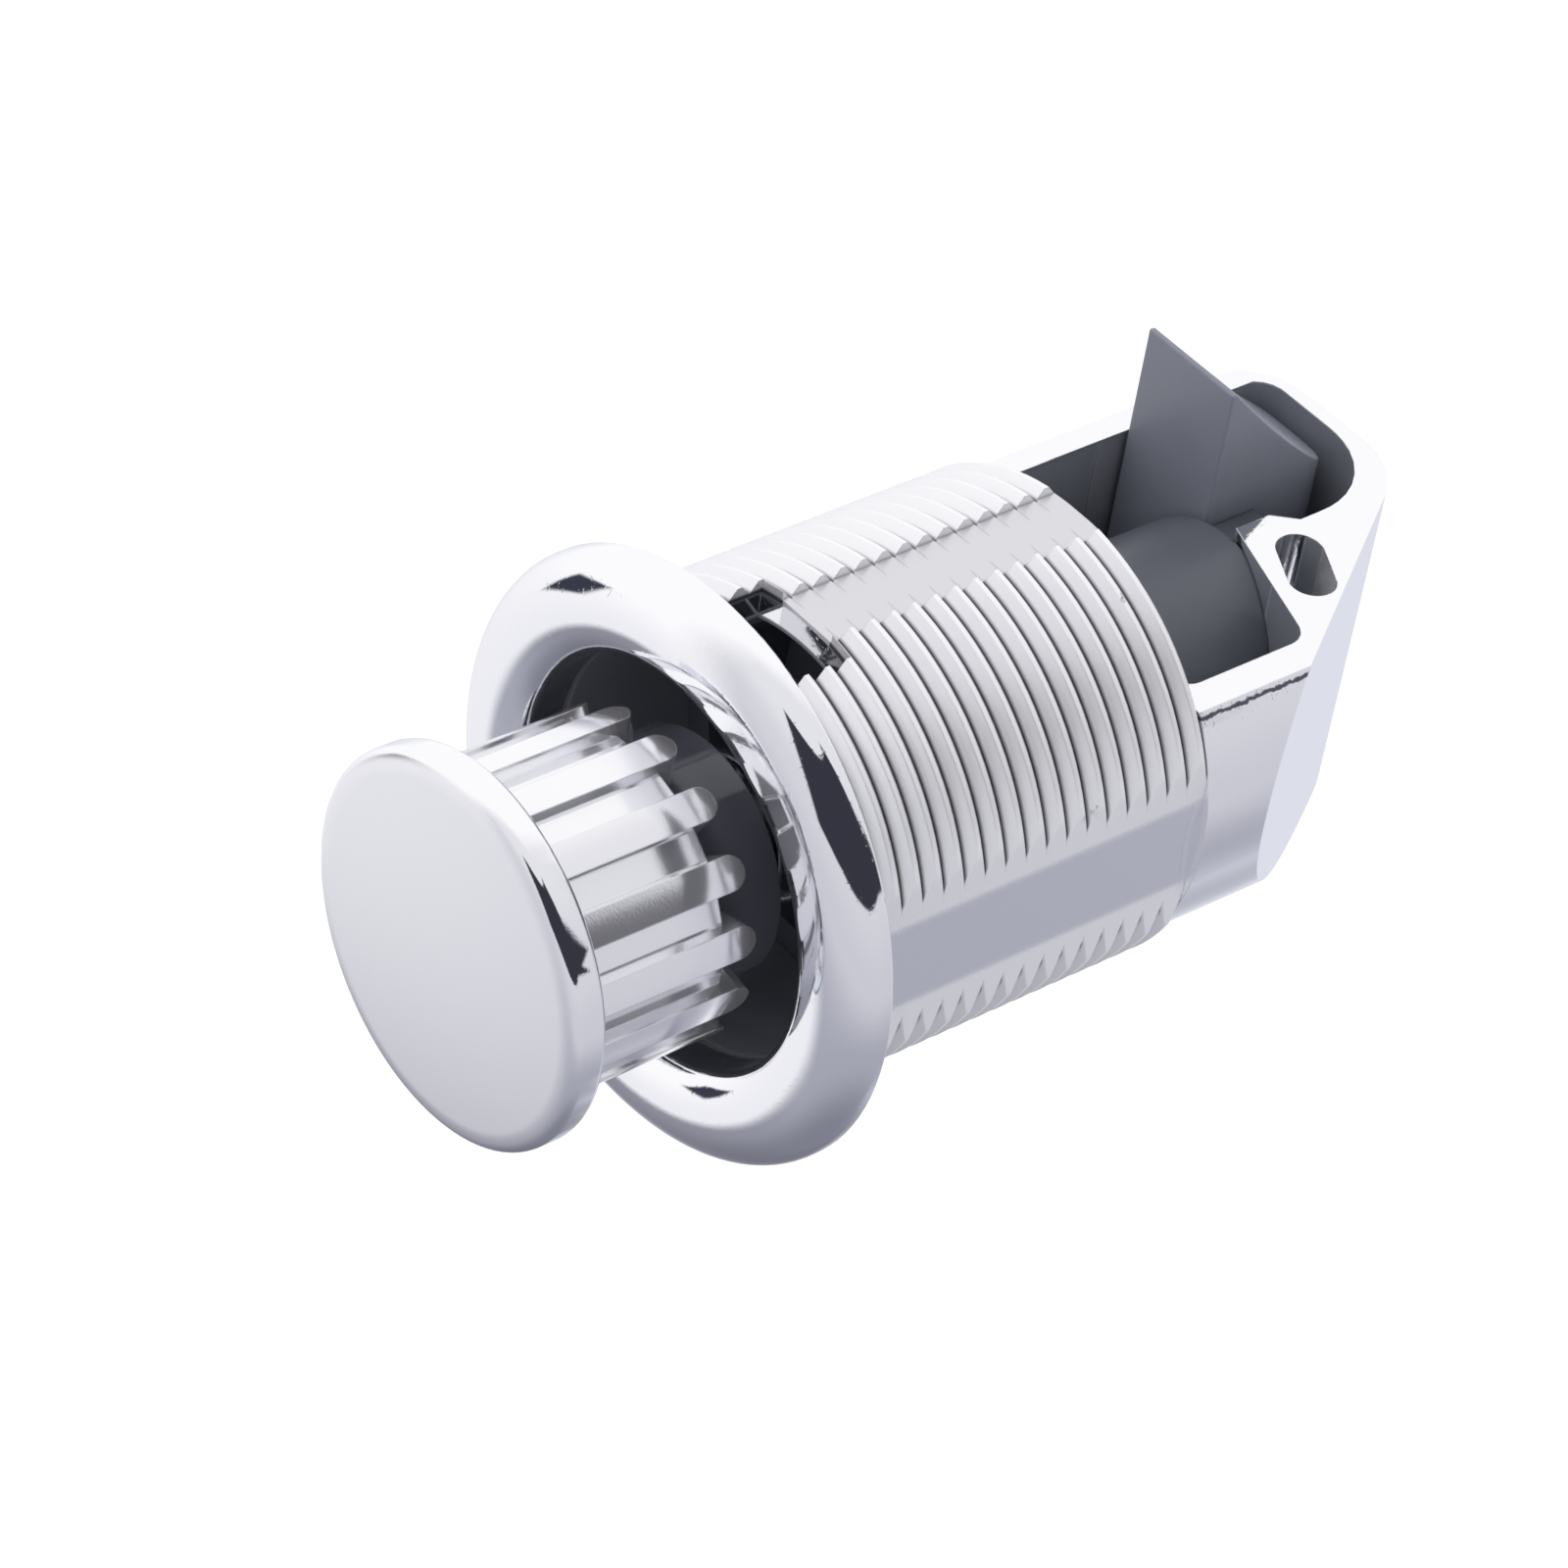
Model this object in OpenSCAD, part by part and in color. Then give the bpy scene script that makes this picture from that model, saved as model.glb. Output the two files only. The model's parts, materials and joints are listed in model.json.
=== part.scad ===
// Pushbutton cabinet latch for a panel hole of one inch.
// A button pops out of a threaded barrel and is then pulled, which draws a wedge bolt down
// into the barrel's tail. The part lies along Y with its button at the front, towards -Y.
// The bolt points up, towards +Z. The origin is on the barrel's axis, at the rear face of
// the bezel, where the bezel meets the panel.

/* [Bezel] */
// Outside diameter of the bezel
bezel_d = 31; // [29.5:0.5:33]
// Height of the bezel's crest above the panel
bezel_h = 2.6; // [2:0.1:3.4]
// Diameter of the ring where the bezel is highest
crest_d = 25.2; // [24.4:0.2:26]
// Diameter of the opening that the button passes through
opening_d = 21; // [20.6:0.1:21.2]
// Depth of the opening's rounded funnel below the crest
funnel_depth = 1.3; // [0.8:0.1:1.8]
// Height of the bezel's straight rim
rim_h = 0.5; // [0.3:0.1:0.8]
// Chamfer of the rim's edge at the panel
rim_chamfer = 0.2; // [0.1:0.05:0.25]

/* [Barrel] */
// Outside diameter of the thread
thread_d = 25.4; // [25.2:0.1:26]
// Distance from one thread crest to the next
thread_pitch = 1.27; // [1.1:0.01:1.5]
// Depth of the thread
thread_depth = 0.62; // [0.4:0.02:0.7]
// Length of the plain collar between the bezel and the thread
collar_len = 0.35; // [0.2:0.05:0.5]
// Length of the threaded barrel behind the bezel
barrel_len = 22.3; // [21.5:0.1:24]
// Distance from the axis to the flat on the barrel's side
side_flat = 11.6; // [11.5:0.05:12]
// Width of the smooth channel along the top of the thread
channel_w = 3.7; // [2:0.1:5]
// Width of the window behind the bezel
window_w = 6.6; // [4:0.1:8]
// Front edge of the window, from the bezel
window_front = 0.4; // [0.2:0.1:1]
// Rear edge of the window, from the bezel
window_rear = 5.3; // [3.5:0.1:7]

/* [Tail] */
// Radius of the tail behind the thread
tail_r = 12.25; // [12.1:0.05:12.4]
// Height of the tail's flat top above the axis
top_z = 6.9; // [6:0.1:7.4]
// Radius that rounds the tail's rear edge
tail_round = 3; // [1:0.25:4]
// Radius of the corner between the slanted side and the rear wall
corner_round = 5; // [3:0.5:6]
// Angle of the slanted side to the axis
slant_deg = 33.5; // [32:0.5:34]
// Where the slanted side leaves the round tail, behind the barrel
slant_start = 7.3; // [7.2:0.1:8]
// Thickness of the tail's side walls at the top
tail_wall = 1.25; // [1:0.05:1.4]
// Thickness of the tail's rear wall
rear_wall = 0.9; // [0.8:0.1:1.2]
// Radius of the bolt slot's rear corner beside the arm
slot_round = 5; // [4:0.5:5]
// How far the slot widens beside the arm
slot_bulge = 0.8; // [0.6:0.1:0.9]
// Thickness of the shoulder between the barrel's bore and the pocket
shoulder_t = 3; // [2:0.1:3.4]
// Height of the pocket's floor below the axis
floor_z = 8.6; // [8.2:0.1:8.8]
// Width of the oval hole in the tail's top
hole_w = 2.5; // [2:0.1:2.6]
// Length of the oval hole
hole_len = 4.9; // [4:0.1:5]
// Angle of the oval hole to the cross axis
hole_deg = 27.5; // [24:0.5:30]
// Distance of the oval hole's middle from the axis
hole_x = 4.05; // [3.9:0.05:4.15]
// Distance of the oval hole's middle behind the bolt slot's front
hole_back = 1.15; // [1:0.05:1.3]
// Depth of the oval hole
hole_depth = 4; // [2:0.5:6]

/* [Button] */
// Diameter of the button's cap
cap_d = 20; // [19.4:0.1:20.2]
// Thickness of the cap
cap_t = 2.3; // [1.8:0.1:3]
// How far the cap's face stands in front of the panel when it is out
button_out = 14.7; // [14:0.1:16]
// How far the face is domed
cap_dome = 0.35; // [0.1:0.05:0.6]
// Radius of the cap's front edge
cap_edge = 0.6; // [0.3:0.1:0.8]
// Radius of the cap's rear edge
cap_rear_edge = 0.4; // [0.2:0.1:0.6]
// How far the button travels when it is pressed in
press_travel = 12; // [11:0.25:12]
// Diameter over the ribs of the stem
rib_d = 16.8; // [16:0.1:17]
// Size across the stem's flat sides, between the ribs
stem_d = 15.4; // [14.8:0.1:15.6]
// Number of ribs round the stem
rib_count = 15; // [12:1:18]
// Width of one rib
rib_w = 1.75; // [1.2:0.05:2]
// Angle from the top to the middle of the first rib
rib_turn = 4; // [0:1:24]
// Length of the stem between its ribs
stem_len = 8.5; // [7.5:0.1:9]
// How far the ribs run past the stem
rib_past = 1.4; // [0.8:0.1:1.8]
// Diameter of the stem's tail, inside the barrel
neck_d = 12.6; // [12:0.1:13]
// Length of the stem's tail
neck_len = 4.6; // [3.5:0.1:4.8]
// Radius of the room for the spring inside the button
spring_room_r = 4.6; // [4.4:0.1:4.8]
// Depth that the shaft is set into the cap
shaft_hold = 1.6; // [1.2:0.1:2]

/* [Bolt] */
// Width of the bolt
bolt_w = 6.4; // [6:0.1:6.8]
// Length of the bolt along the barrel
bolt_len = 9.4; // [9:0.1:9.8]
// Height of the bolt's tip above the axis
bolt_tip = 13.5; // [12.8:0.1:14]
// Foot of the bolt above the axis
bolt_foot = 0.2; // [0:0.1:0.6]
// Angle of the striking slope to the barrel
bolt_slope_deg = 42; // [38:1:44]
// How deep the striking slope is hollowed
bolt_hollow = 0.45; // [0.1:0.05:0.6]
// Radius of the bolt's rear corner beside the arm
bolt_round = 3.25; // [2:0.25:3.5]
// How far the bolt draws back
bolt_travel = 6.5; // [5:0.1:6.5]
// Pull of the button for each millimetre of bolt
pull_per_bolt = 0.66; // [0.62:0.01:0.68]
// Gap between the bolt and the sides of its slot
bolt_gap = 0.4; // [0.3:0.05:0.45]
// Gap between the bolt and the rear end of its slot
bolt_end_gap = 0.3; // [0.3:0.05:0.5]
// Height of the bolt's pin above the axis
pin_z = 3.2; // [3:0.1:3.4]
// Distance of the pin behind the bolt's holding face
pin_back = 2; // [1.8:0.1:2.1]

/* [Inner parts] */
// Wall of the carriage's cup
cup_wall = 1.5; // [1.2:0.1:1.6]
// Length of the carriage's cup
cup_len = 5; // [4:0.1:6]
// Inside radius of the carriage's tube
tube_in_r = 4.6; // [4.4:0.1:4.8]
// Wall of the carriage's tube
tube_wall = 1.8; // [1.4:0.1:2]
// Thickness of the spring seat
seat_t = 1.5; // [1.2:0.1:1.6]
// Thickness of the carriage's rear wall
end_wall = 1.2; // [1:0.1:1.4]
// Length of the cam slider
slider_len = 3.8; // [3.6:0.1:3.9]
// Distance from the axis to the cam slider's flat underside
slider_flat = 3; // [2.9:0.05:3.1]
// Depth of the track in the cam slider
track_depth = 0.8; // [0.6:0.05:0.9]
// Thickness of the nut behind the cam slider
nut_t = 1; // [0.8:0.1:1.1]
// Radius of the nut over its corners
nut_r = 2.4; // [2.2:0.1:2.5]
// Radius of the follower's wire
follower_r = 0.35; // [0.3:0.05:0.4]
// Radius of the button's shaft
shaft_r = 1.5; // [1.3:0.05:1.7]
// Thickness of the arm that works the bolt
arm_t = 1.8; // [1.6:0.1:2.2]
// Radius of the pin in the bolt
pin_r = 0.9; // [0.8:0.05:1]
// Wire radius of the button's spring
button_wire_r = 0.3; // [0.25:0.01:0.35]
// Wire radius of the bolt's spring
bolt_wire_r = 0.25; // [0.2:0.01:0.3]
// Radius of the bolt's spring, at the middle of its wire
bolt_spring_r = 1.4; // [1.2:0.05:1.5]
// Distance of the bolt's spring from the bolt's side
bolt_spring_side = 2.4; // [2.3:0.1:2.6]
// Distance of the bolt's spring behind the bolt's holding face
bolt_spring_back = 6; // [5.8:0.1:6.2]
// Depth that the bolt's spring is set into the bolt
bolt_spring_hold = 2; // [1.6:0.1:2.4]
// Radial clearance of parts that slide in each other
slide_gap = 0.1; // [0.06:0.01:0.15]
// Gap left between moving faces at the end of their travel
end_gap = 0.3; // [0.2:0.05:0.4]

/* [Hidden] */
thread_r = thread_d / 2;
root_r = thread_r - thread_depth;
bore_r = opening_d / 2;
cap_r = cap_d / 2;
rib_r = rib_d / 2;
stem_r = stem_d / 2;
stem_corner_r = stem_r / cos(180 / rib_count);
neck_r = neck_d / 2;
opening_y = funnel_depth - bezel_h;
tail_y = barrel_len;
shoulder_y = barrel_len - shoulder_t + 0.6;
pocket_y = barrel_len + 0.6;
cap_y = cap_t - button_out;
spring_y = cap_y + shaft_hold;
stem_end_y = cap_y + stem_len;
neck_end_y = stem_end_y + neck_len;
seat_y = neck_end_y + press_travel + end_gap + 0.2;
cup_y = seat_y - cup_len + end_gap;
cup_r = bore_r - slide_gap;
cup_in_r = cup_r - cup_wall;
tube_r = tube_in_r + tube_wall;
slider_y = seat_y + seat_t + end_gap;
slider_r = tube_in_r - slide_gap;
tube_end_y = slider_y + slider_len + nut_t + press_travel + end_gap;
carriage_end_y = tube_end_y + end_wall;
pull_travel = bolt_travel * pull_per_bolt;
slot_y = carriage_end_y + end_gap;
slot_far_x = tail_wall - sqrt(tail_r * tail_r - top_z * top_z);
slot_near_x = slot_far_x + bolt_w + bolt_gap * 2 + arm_t + slide_gap * 2;
bolt_x0 = slot_far_x + bolt_gap;
bolt_x1 = bolt_x0 + bolt_w;
bolt_y0 = slot_y + bolt_gap / 2;
bolt_y1 = bolt_y0 + bolt_len;
slot_rear_y = bolt_y1 + bolt_end_gap;
rear_y = slot_rear_y + rear_wall;
tail_len = rear_y - barrel_len;
arm_x0 = bolt_x1 + slide_gap;
arm_x1 = arm_x0 + arm_t;
pin_y = bolt_y0 + pin_back;
bolt_spring_x = bolt_x1 - bolt_spring_side;
bolt_spring_y = bolt_y0 + bolt_spring_back;
pin_gap = 0.08;
pin_inset = 0.6;
spring_clear = 0.5;
follower_gap = 0.35;
track_start = 1.3;
pivot_inset = 0.9;
crest_flat = thread_pitch / 5;
channel_sink = 0.02;
follower_tip_y = slider_y + press_travel + track_start;
follower_pivot_y = tube_end_y - pivot_inset;
follower_z = -slider_flat - follower_gap - follower_r;
big = 60;
lap = 0.1;
wire_sides = 8;
turn_steps = 12;

// Points of the arc that rounds corner b of the path a, b, c
function rounded(a, b, c, r, n = 6) =
    let (u = (a - b) / norm(a - b), v = (c - b) / norm(c - b))
    let (half = acos(u * v) / 2, w = (u + v) / norm(u + v))
    let (centre = b + w * r / sin(half), p = b + u * r / tan(half), q = b + v * r / tan(half))
    let (s = p - centre, e = q - centre)
    [for (i = [0 : n]) centre + r * (s * (1 - i / n) + e * i / n) / norm(s * (1 - i / n) + e * i / n)];

// Turns a shape made along Z so that it runs along Y
module along_y(y = 0) {
    translate([0, y, 0])
        rotate([-90, 0, 0])
            children();
}

// Round bar along Y, from y to y + len
module rod_y(r, y, len, z = 0) {
    translate([0, 0, z])
        along_y(y)
            cylinder(r = r, h = len, $fn = 96);
}

// Prism that stands on a plan outline, from z0 to z1
module stand(points, z0, z1) {
    translate([0, 0, z0])
        linear_extrude(height = z1 - z0)
            polygon(points);
}

// One section of a wire of radius w, at angle t of a coil of radius r
function wire_ring(r, z, t, w, lift) =
    [for (k = [0 : wire_sides - 1])
        let (a = 360 * k / wire_sides)
        [(r + w * cos(a)) * cos(t), (r + w * cos(a)) * sin(t), z + w * sin(a) + lift * t]];

// Spring along Z, from its foot at 0 to its top at len
module coil(r, wire_r, len, turns) {
    steps = turns * turn_steps;
    rise = (len - 2 * wire_r) / (turns * 360);
    points = [for (i = [0 : steps]) each wire_ring(r, wire_r, i * 360 / turn_steps, wire_r, rise)];
    sides = [for (i = [0 : steps - 1], k = [0 : wire_sides - 1])
        let (m = (k + 1) % wire_sides, a = i * wire_sides, b = a + wire_sides)
        each [[a + k, a + m, b + k], [a + m, b + m, b + k]]];
    ends = [[for (k = [wire_sides - 1 : -1 : 0]) k],
            [for (k = [0 : wire_sides - 1]) steps * wire_sides + k]];
    polyhedron(points = points, faces = concat([for (f = sides) [f[0], f[2], f[1]]],
        [for (f = ends) [for (k = [len(f) - 1 : -1 : 0]) f[k]]]));
}

// Bezel section: rim, dome, crest and funnel
module bezel() {
    bezel_r = bezel_d / 2;
    crest_r = crest_d / 2;
    dome = [for (a = [0 : 6 : 90])
        [crest_r + (bezel_r - crest_r) * cos(a), -rim_h - (bezel_h - rim_h) * sin(a)]];
    funnel = [for (a = [80 : -10 : 0])
        [bore_r + (crest_r - bore_r) * (1 - cos(a)), -bezel_h + funnel_depth * (1 - sin(a))]];
    foot = [[bore_r - 1, 0], [bezel_r - rim_chamfer, 0], [bezel_r, -rim_chamfer]];
    along_y()
        rotate_extrude($fn = 96)
            polygon(concat(foot, dome, funnel, [[bore_r - 1, opening_y]]));
}

// Thread as rings of the true section, with a land on each crest
module thread() {
    count = floor((barrel_len - collar_len - 0.3) / thread_pitch);
    slope = (thread_pitch - crest_flat) / 2;
    start = barrel_len - count * thread_pitch;
    collar = [[0, 0], [thread_r, 0], [thread_r, collar_len]];
    teeth = [for (i = [0 : count - 1])
        let (z = start + i * thread_pitch)
        each [[root_r, z], [thread_r, z + slope], [thread_r, z + slope + crest_flat]]];
    along_y()
        rotate_extrude($fn = 96)
            polygon(concat(collar, teeth, [[root_r, barrel_len], [0, barrel_len]]));
}

// Round tail with its rounded rear edge
module tail_round_body() {
    edge = [for (a = [0 : 15 : 90])
        [tail_r - tail_round + tail_round * cos(a), tail_len - tail_round + tail_round * sin(a)]];
    along_y(tail_y)
        rotate_extrude($fn = 96)
            polygon(concat([[0, 0], [tail_r, 0]], edge, [[0, tail_len]]));
}

// Plan of the tail: straight sides and one slanted corner
function tail_plan() =
    let (x0 = sqrt(tail_r * tail_r - top_z * top_z))
    let (y0 = tail_y + slant_start, turn = tan(slant_deg))
    let (a = [x0 + (y0 - tail_y + 1) * turn, tail_y - 1])
    let (b = [x0 - (rear_y - y0) * turn, rear_y])
    concat([[-big, tail_y - 1], a], rounded(a, b, [-big, rear_y], corner_round), [[-big, rear_y]]);

// Plan of the pocket that the carriage works in
function pocket_plan() =
    let (near = -slot_far_x - 0.5, tip = [arm_x1 + 0.25, slot_y])
    let (corner = [near, slot_y - 2.7])
    concat([[slot_far_x, pocket_y]],
        rounded([slot_far_x, pocket_y], [near, pocket_y], corner, 1),
        rounded([near, pocket_y], corner, tip, 1.4), [tip, [slot_far_x, slot_y + 1]]);

// Plan of the slot that the bolt and the arm slide in
function slot_plan() =
    let (tip = [arm_x1 + 0.25, slot_y], knee = [arm_x1 + 0.25, slot_y + 2.2])
    let (bulge = [slot_near_x + slot_bulge, knee[1] + 1.2], rear = [slot_near_x + slot_bulge, slot_rear_y])
    concat([[slot_far_x, slot_y], tip, knee, bulge],
        rounded(bulge, rear, [slot_far_x, slot_rear_y], slot_round, 10),
        rounded(rear, [slot_far_x, slot_rear_y], [slot_far_x, slot_y], 1.6));

// One casting: bezel, threaded barrel and tail
module housing() {
    color([0.80, 0.81, 0.83])
        difference() {
            union() {
                bezel();
                thread();
                intersection() {
                    tail_round_body();
                    stand(tail_plan(), -big, top_z);
                }
            }
            rod_y(bore_r, -big, big + shoulder_y);
            rod_y(tube_r + slide_gap, shoulder_y - 1, slot_y - shoulder_y + 1);
            intersection() {
                union() {
                    stand(pocket_plan(), -floor_z, big);
                    stand(slot_plan(), -floor_z, big);
                }
                rod_y(tail_r - tail_wall * 0.9, 0, big);
            }
            flat_side();
            translate([-channel_w / 2, window_rear - 1, root_r - channel_sink])
                cube([channel_w, barrel_len - window_rear + 2, big]);
            translate([-window_w / 2, window_front, 0])
                cube([window_w, window_rear - window_front, big]);
            oval_hole();
        }
}

// Flat along one side of the thread, which keeps the latch from turning in its hole
module flat_side() {
    translate([side_flat, 0, -big / 2])
        cube([big, barrel_len, big]);
}

// Oval hole in the tail's top, between the pocket and the slanted side
module oval_hole() {
    hole_r = hole_w / 2;
    straight = hole_len - hole_w;
    translate([hole_x, slot_y + hole_back, top_z - hole_depth])
        rotate([0, 0, -hole_deg])
            linear_extrude(height = big)
                union() {
                    for (side = [-1, 1])
                        translate([side * straight / 2, 0])
                            circle(r = hole_r, $fn = 48);
                    square([straight, hole_w], center = true);
                }
}

// Button: domed cap, fluted stem and hollow neck in one piece
module button() {
    dome_r = (cap_r * cap_r + cap_dome * cap_dome) / (2 * cap_dome);
    face = [for (i = [0 : 8])
        let (x = (cap_r - cap_edge) * i / 8)
        [x, -button_out + dome_r - sqrt(dome_r * dome_r - x * x)]];
    rim_y = -button_out + cap_dome;
    front = [for (a = [75 : -15 : 0])
        [cap_r - cap_edge + cap_edge * cos(a), rim_y + cap_edge - cap_edge * sin(a)]];
    back = [for (a = [0 : 30 : 90])
        [cap_r - cap_rear_edge * (1 - cos(a)), cap_y - cap_rear_edge * (1 - sin(a))]];
    color([0.86, 0.87, 0.89])
        difference() {
            union() {
                along_y()
                    rotate_extrude($fn = 96)
                        polygon(concat(face, front, back, [[0, cap_y]]));
                stem();
                rod_y(neck_r, stem_end_y - lap, neck_len + lap);
                for (i = [0 : rib_count - 1])
                    rotate([0, rib_turn + 360 * i / rib_count, 0])
                        rib();
            }
            rod_y(spring_room_r, spring_y, big);
            rod_y(shaft_r, cap_y, big);
        }
}

// Stem with a flat side between each two ribs
module stem() {
    corners = [for (i = [0 : rib_count - 1])
        let (a = 360 * i / rib_count - 90)
        [stem_corner_r * cos(a), stem_corner_r * sin(a)]];
    rotate([0, rib_turn, 0])
        along_y(cap_y - lap)
            linear_extrude(height = stem_len + lap)
                polygon(corners);
}

// Rib on top of the stem, with a round end that runs past it
module rib() {
    straight = stem_len + rib_past - rib_w / 2 + lap;
    intersection() {
        translate([0, cap_y - lap, 0])
            linear_extrude(height = rib_r)
                union() {
                    translate([-rib_w / 2, 0])
                        square([rib_w, straight]);
                    translate([0, straight])
                        circle(r = rib_w / 2, $fn = 24);
                }
        difference() {
            rod_y(rib_r, cap_y - 1, stem_len + rib_past + 2);
            rod_y(neck_r - 0.6, cap_y - 2, stem_len + rib_past + 4);
        }
    }
}

// Steel shaft that joins the button to the cam slider
module button_shaft() {
    color([0.62, 0.63, 0.65])
        rod_y(shaft_r, cap_y, slider_y + slider_len + nut_t - cap_y);
}

// Nut that holds the cam slider on the shaft
module shaft_nut() {
    color([0.55, 0.56, 0.58])
        difference() {
            along_y(slider_y + slider_len)
                cylinder(r = nut_r, h = nut_t, $fn = 6);
            rod_y(shaft_r, slider_y, big);
        }
}

// Spring that pops the button out
module button_spring() {
    color([0.5, 0.51, 0.53])
        along_y(spring_y)
            coil(spring_room_r - spring_clear - button_wire_r, button_wire_r, seat_y - spring_y, 9);
}

// Ring that the spring rests on, seated in the carriage's cup
module spring_seat() {
    color([0.35, 0.36, 0.38])
        difference() {
            rod_y(cup_in_r, seat_y, seat_t);
            rod_y(shaft_r + slide_gap, seat_y - 1, seat_t + 2);
        }
}

// Slider with the heart track that holds the button in or lets it out
module cam_slider() {
    color([0.75, 0.74, 0.70])
        difference() {
            rod_y(slider_r, slider_y, slider_len);
            rod_y(shaft_r, slider_y - 1, big);
            translate([-big / 2, slider_y - 1, -big - slider_flat])
                cube([big, big, big]);
            translate([0, slider_y, -big - slider_flat + track_depth])
                linear_extrude(height = big)
                    heart_track();
        }
}

// Plan of the track: a way in from behind, and a loop round a heart with its notch behind
module heart_track() {
    lane = follower_r * 2 + 0.3;
    heart_w = 1.3;
    heart_front = 1.9;
    loop_w = heart_w + lane * 2;
    difference() {
        union() {
            translate([-loop_w / 2, heart_front - lane])
                square([loop_w, slider_len - heart_front]);
            translate([-lane, slider_len - 1])
                square([lane * 2, 2]);
        }
        polygon([[-heart_w / 2, heart_front], [0, heart_front + 0.3], [heart_w / 2, heart_front],
            [heart_w / 2, heart_front + 0.5], [0, heart_front + 1], [-heart_w / 2, heart_front + 0.5]]);
    }
}

// Bent wire that turns in the carriage and runs in the heart track
module cam_follower() {
    foot_inset = 0.4;
    tip_gap = 0.15;
    color([0.5, 0.51, 0.53])
        union() {
            translate([0, follower_pivot_y, -tube_r + foot_inset])
                cylinder(r = follower_r, h = tube_r - foot_inset + follower_z, $fn = 32);
            rod_y(follower_r, follower_tip_y, follower_pivot_y - follower_tip_y, follower_z);
            translate([0, follower_tip_y, follower_z])
                cylinder(r = follower_r, h = follower_gap + follower_r + track_depth - tip_gap, $fn = 32);
            for (y = [follower_tip_y, follower_pivot_y])
                translate([0, y, follower_z])
                    sphere(r = follower_r, $fn = 32);
        }
}

// Carriage: cup, tube, rear wall and the arm with its sloping slot
module carriage() {
    color([0.24, 0.25, 0.28])
        difference() {
            union() {
                rod_y(cup_r, cup_y, seat_y + seat_t + 1 - cup_y);
                rod_y(tube_r, seat_y + seat_t, carriage_end_y - seat_y - seat_t);
                arm();
            }
            rod_y(cup_in_r, cup_y - 1, seat_y + seat_t - cup_y + 1);
            rod_y(tube_in_r, seat_y, tube_end_y - seat_y);
            drive_slot();
            translate([0, follower_pivot_y, -big])
                cylinder(r = follower_r + pin_gap / 2, h = big, $fn = 32);
        }
}

// Upright plate behind the carriage, beside the bolt, rounded to clear the slot's rear corner
module arm() {
    round_x = slot_near_x + slot_bulge - slot_round;
    round_y = slot_rear_y - slot_round;
    arm_top = pin_z + 2.2;
    arm_foot = 2.3 - floor_z;
    arm_rear_top = -1;
    arm_start = carriage_end_y - 1;
    arm_end = slot_rear_y - end_gap * 2;
    intersection() {
        translate([arm_x0, 0, 0])
            rotate([90, 0, 90])
                linear_extrude(height = arm_t)
                    polygon([[arm_start, arm_foot], [arm_start, arm_top], [pin_y + 1.2, arm_top],
                        [arm_end, arm_rear_top], [arm_end, arm_foot]]);
        union() {
            translate([round_x, round_y, -big])
                cylinder(r = slot_round - end_gap, h = big * 2, $fn = 96);
            translate([arm_x0 - 1, 0, -big])
                cube([arm_t + 2, round_y, big * 2]);
        }
    }
}

// Slot that turns the carriage's pull into the bolt's drop
module drive_slot() {
    r = pin_r + pin_gap;
    run = norm([pull_travel, bolt_travel]);
    translate([arm_x0 - 1, pin_y, pin_z])
        rotate([90, 0, 90])
            rotate([0, 0, -atan2(bolt_travel, pull_travel)])
                linear_extrude(height = arm_t + 2)
                    union() {
                        circle(r = r, $fn = 48);
                        translate([run, 0])
                            circle(r = r, $fn = 48);
                        translate([0, -r])
                            square([run, r * 2]);
                    }
}

// Wedge bolt: upright holding face in front, striking slope behind
module bolt() {
    front_flat = 0.3;
    slope_len = bolt_len - front_flat;
    slope = [for (i = [0 : 8])
        let (t = i / 8)
        let (drop = slope_len * t * tan(bolt_slope_deg) + bolt_hollow * 4 * t * (1 - t))
        [bolt_y0 + front_flat + slope_len * t, bolt_tip - drop]];
    color([0.30, 0.32, 0.36])
        difference() {
            intersection() {
                translate([bolt_x0, 0, 0])
                    rotate([90, 0, 90])
                        linear_extrude(height = bolt_w)
                            polygon(concat([[bolt_y0, bolt_foot], [bolt_y0, bolt_tip]], slope,
                                [[bolt_y1, bolt_foot]]));
                stand(bolt_plan(), -big, big);
            }
            translate([bolt_x0 + pin_inset, pin_y, pin_z])
                rotate([0, 90, 0])
                    cylinder(r = pin_r, h = big, $fn = 48);
            translate([bolt_spring_x, bolt_spring_y, bolt_foot - 1])
                cylinder(r = bolt_spring_r + bolt_wire_r + end_gap, h = 1 + bolt_spring_hold, $fn = 48);
        }
}

// Plan of the bolt, with its rear corner rounded beside the arm
function bolt_plan() =
    concat([[bolt_x0, bolt_y0], [bolt_x1, bolt_y0]],
        rounded([bolt_x1, bolt_y0], [bolt_x1, bolt_y1], [bolt_x0, bolt_y1], bolt_round),
        rounded([bolt_x1, bolt_y1], [bolt_x0, bolt_y1], [bolt_x0, bolt_y0], 1.2));

// Pin through the bolt that the arm's slot works on
module bolt_pin() {
    color([0.7, 0.71, 0.73])
        translate([bolt_x0 + pin_inset, pin_y, pin_z])
            rotate([0, 90, 0])
                cylinder(r = pin_r, h = arm_x1 - bolt_x0 - pin_inset - slide_gap, $fn = 48);
}

// Spring under the bolt
module bolt_spring() {
    color([0.5, 0.51, 0.53])
        translate([bolt_spring_x, bolt_spring_y, -floor_z])
            coil(bolt_spring_r, bolt_wire_r, floor_z + bolt_foot + bolt_spring_hold, 6);
}

housing();
button();
button_shaft();
shaft_nut();
button_spring();
spring_seat();
cam_slider();
cam_follower();
carriage();
bolt();
bolt_pin();
bolt_spring();
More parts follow.
